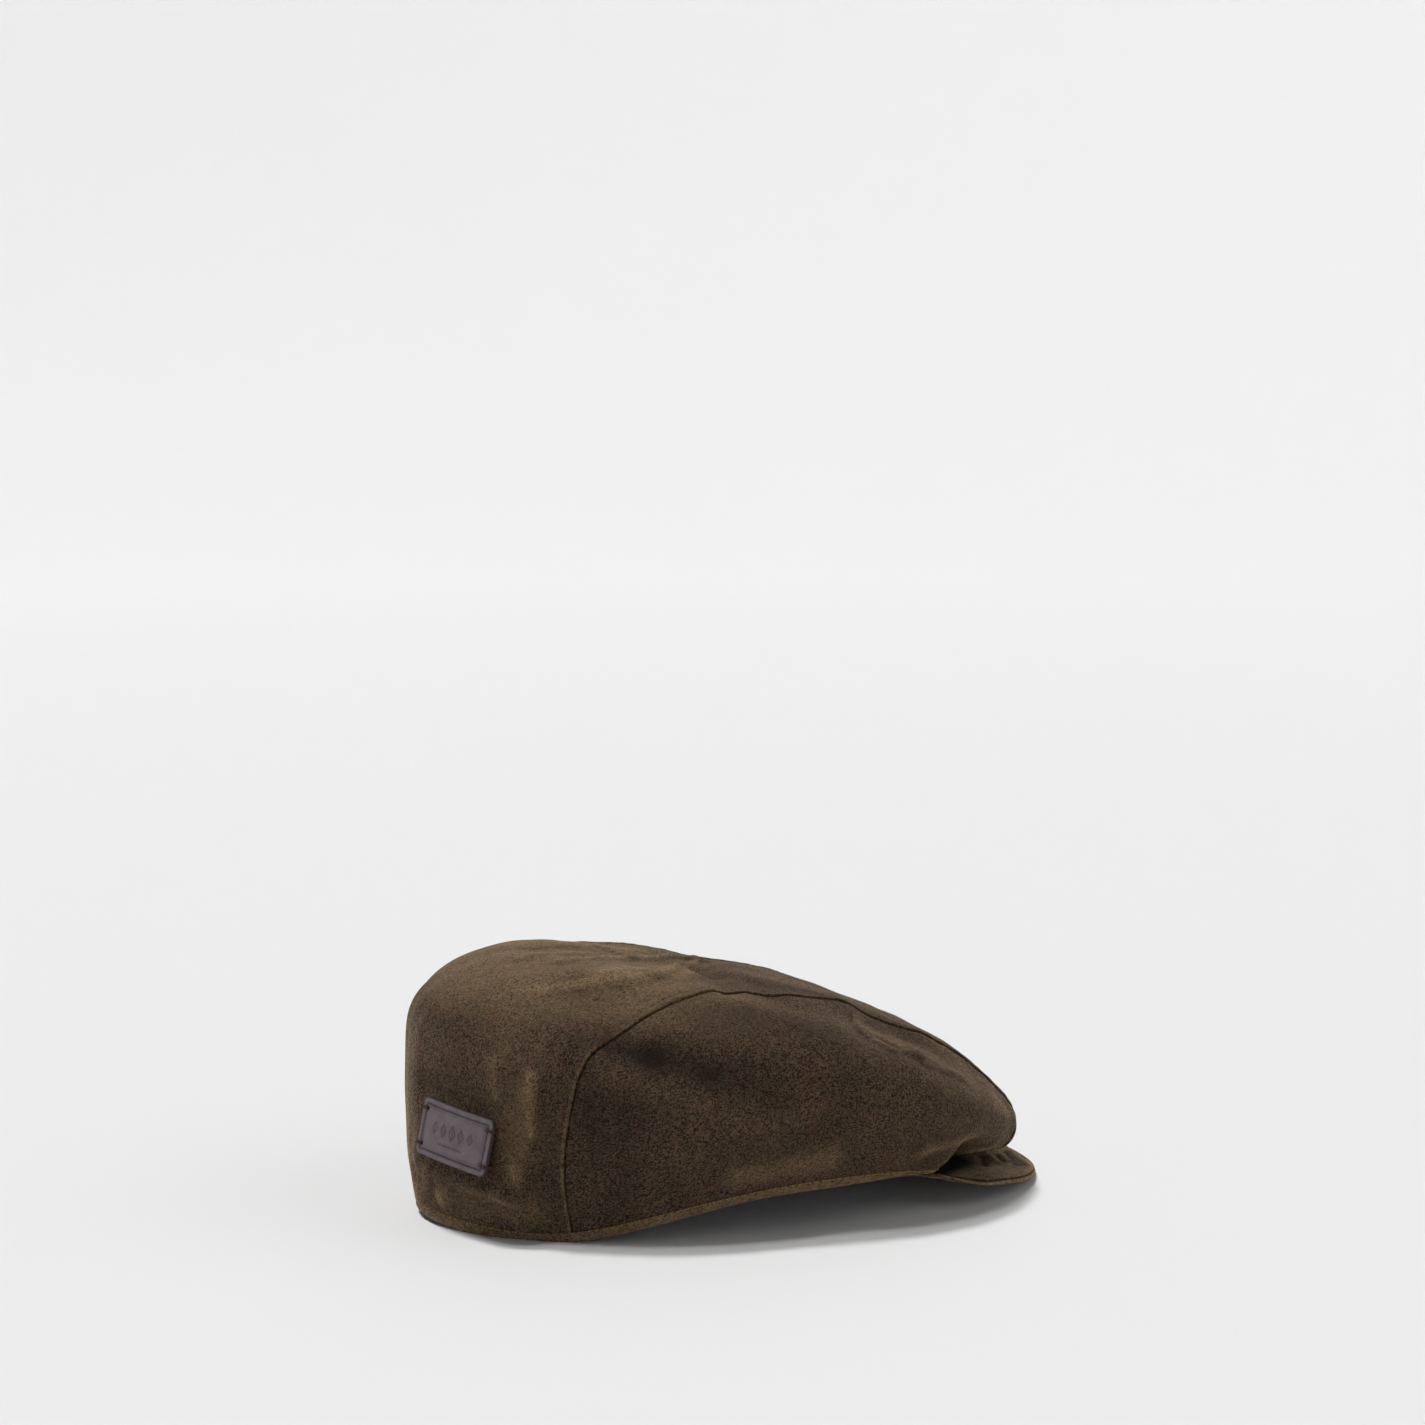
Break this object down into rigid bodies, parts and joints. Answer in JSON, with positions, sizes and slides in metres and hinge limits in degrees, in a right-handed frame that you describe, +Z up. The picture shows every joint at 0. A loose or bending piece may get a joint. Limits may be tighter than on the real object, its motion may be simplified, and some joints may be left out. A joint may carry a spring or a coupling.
{
  "type": "waxed flat cap",
  "caption": "Soft cloth flat cap with a low rounded crown in panels, a short peak under its front, a stitched rim band and a small leather patch at the back.",
  "frame": {"origin": "centre of the cap's footprint box on the surface it lies on", "axes": "+X toward the peak, +Y toward the wearer's left, +Z up"},
  "size_m": [0.2605, 0.1764, 0.1018],
  "materials": {
    "crown_center_panel": "matte waxed cotton, rubbed lighter on its ridges",
    "side_panel_right": "matte waxed cotton",
    "side_panel_left": "matte waxed cotton",
    "rim_band": "matte waxed cotton, stitched with tan thread",
    "peak_top": "matte waxed cotton",
    "peak_underside": "matte waxed cotton",
    "leather_patch": "satin taupe leather with a pressed border line"
  },
  "bodies": {
    "root": {"crown_center_panel": "crown_center_panel", "side_panel_right": "side_panel_right", "side_panel_left": "side_panel_left", "rim_band": "rim_band", "peak_top": "peak_top", "peak_underside": "peak_underside", "leather_patch": "leather_patch"}
  },
  "joints": []
}
